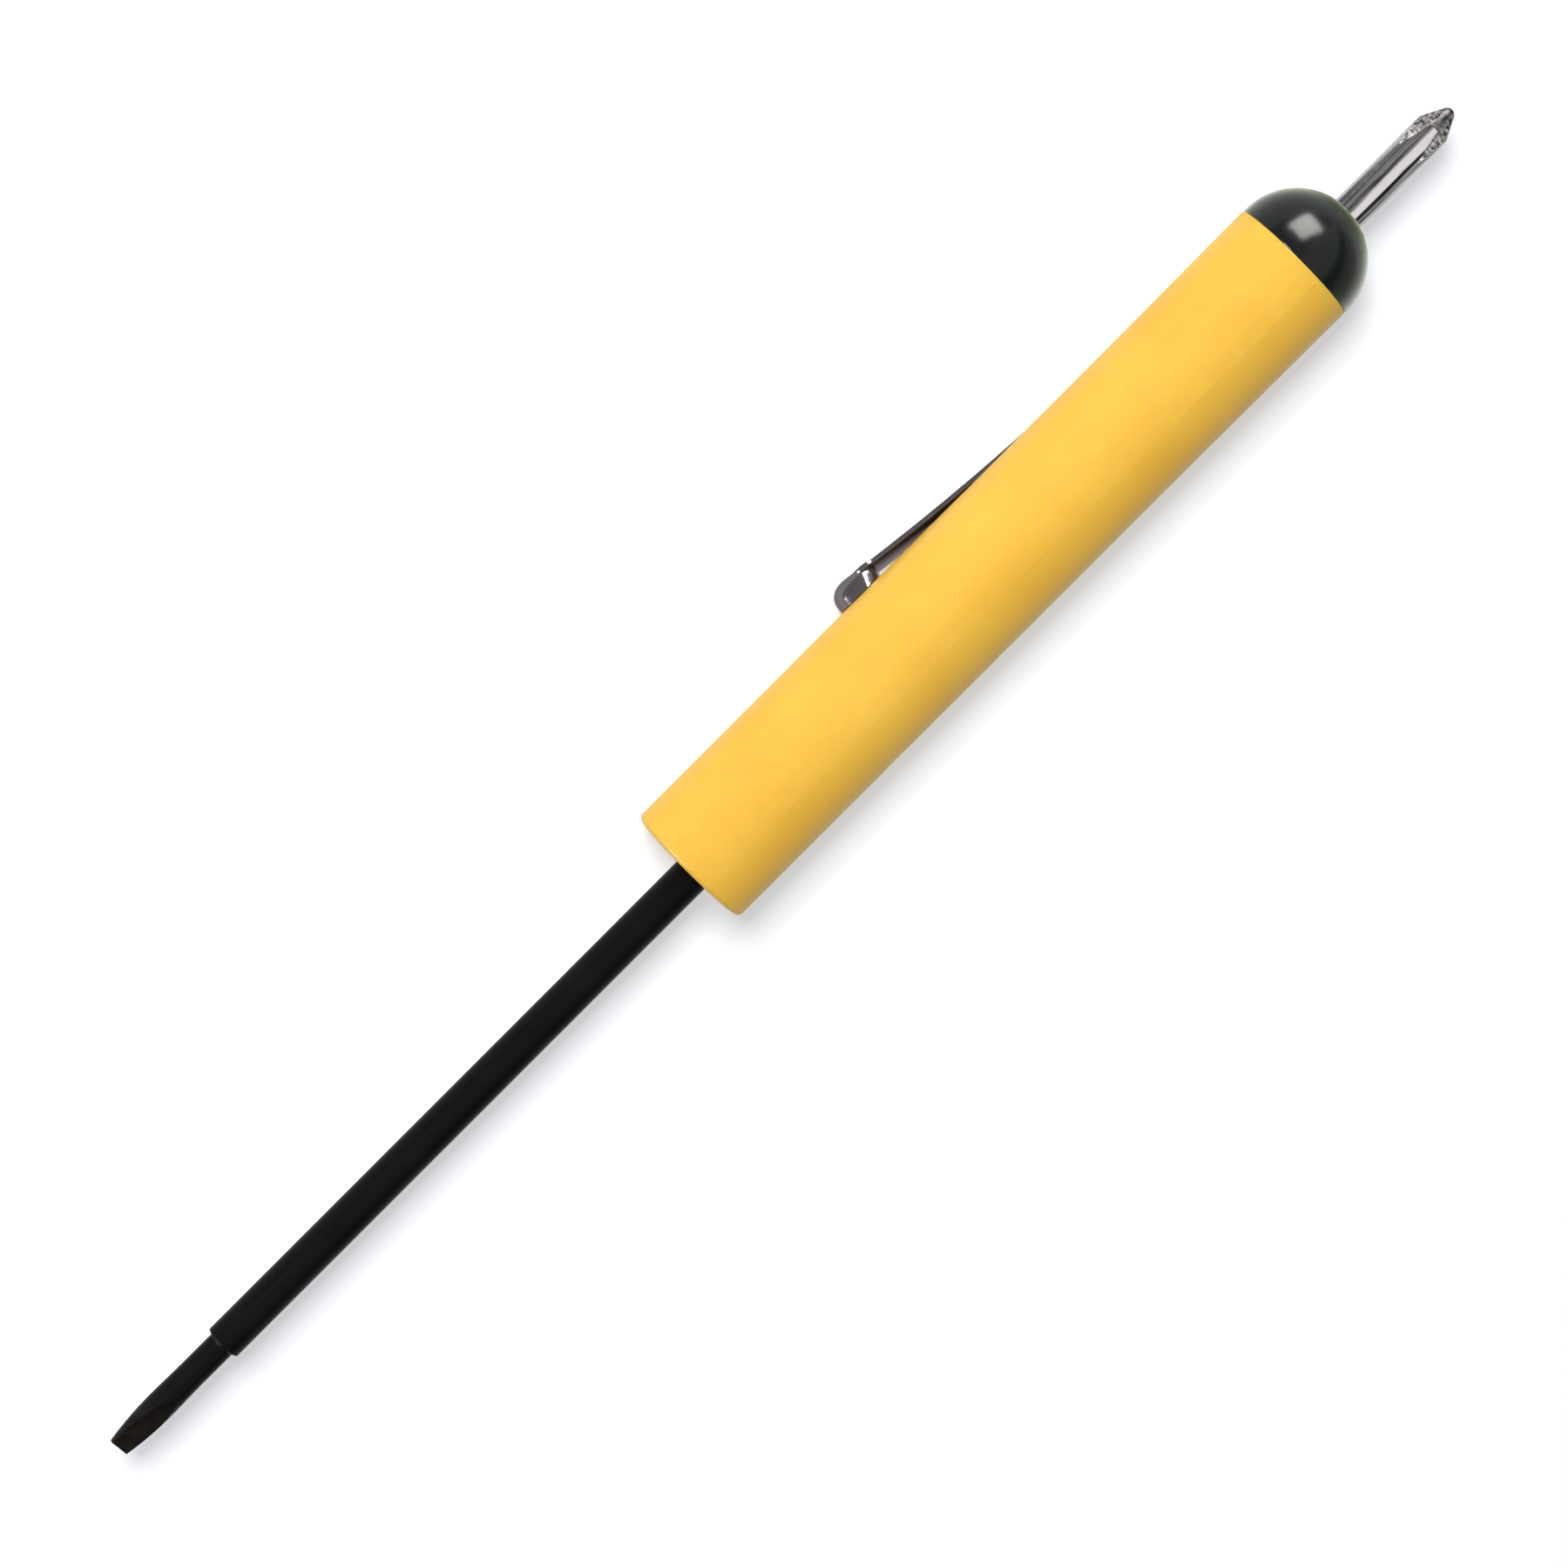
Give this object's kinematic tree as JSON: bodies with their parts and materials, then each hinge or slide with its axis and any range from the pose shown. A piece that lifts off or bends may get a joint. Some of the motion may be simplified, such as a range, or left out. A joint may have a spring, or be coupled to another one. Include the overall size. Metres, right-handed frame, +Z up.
{
  "type": "pocket screwdriver",
  "caption": "Pocket screwdriver with a round moulded barrel, a fixed flat blade in its nose, a domed cap with a short cross-point bit, and a spring pocket clip.",
  "frame": {"origin": "on the flat blade's shaft axis, in the plane of the barrel's nose", "axes": "+X along the shaft from the nose towards the flat tip, +Z up with the tool lying at rest on its barrel and the edge of its clip, the clip on the -Y side"},
  "size_m": [0.1529, 0.0124, 0.0116],
  "materials": {
    "barrel_plastic": "satin moulded yellow plastic",
    "black_steel": "black oxide on steel, satin",
    "clip_plate": "bright plated spring steel",
    "cap_plastic": "glossy black moulded plastic",
    "bit_plate": "bright plated steel"
  },
  "bodies": {
    "handle": {"barrel": "barrel_plastic", "flat_blade": "black_steel", "clip_tang": "clip_plate", "top_cap": "cap_plastic", "cross_bit": "bit_plate"},
    "clip": {"pocket_clip": "clip_plate"}
  },
  "joints": [
    {"name": "clip_flex", "type": "hinge", "parent": "handle", "child": "clip", "pos_m": [-0.0443, -0.00459, -0.00358], "axis": [0, 0.6152, -0.7884], "range_deg": [0, 8], "stiffness_Nm_per_rad": 0.53}
  ]
}
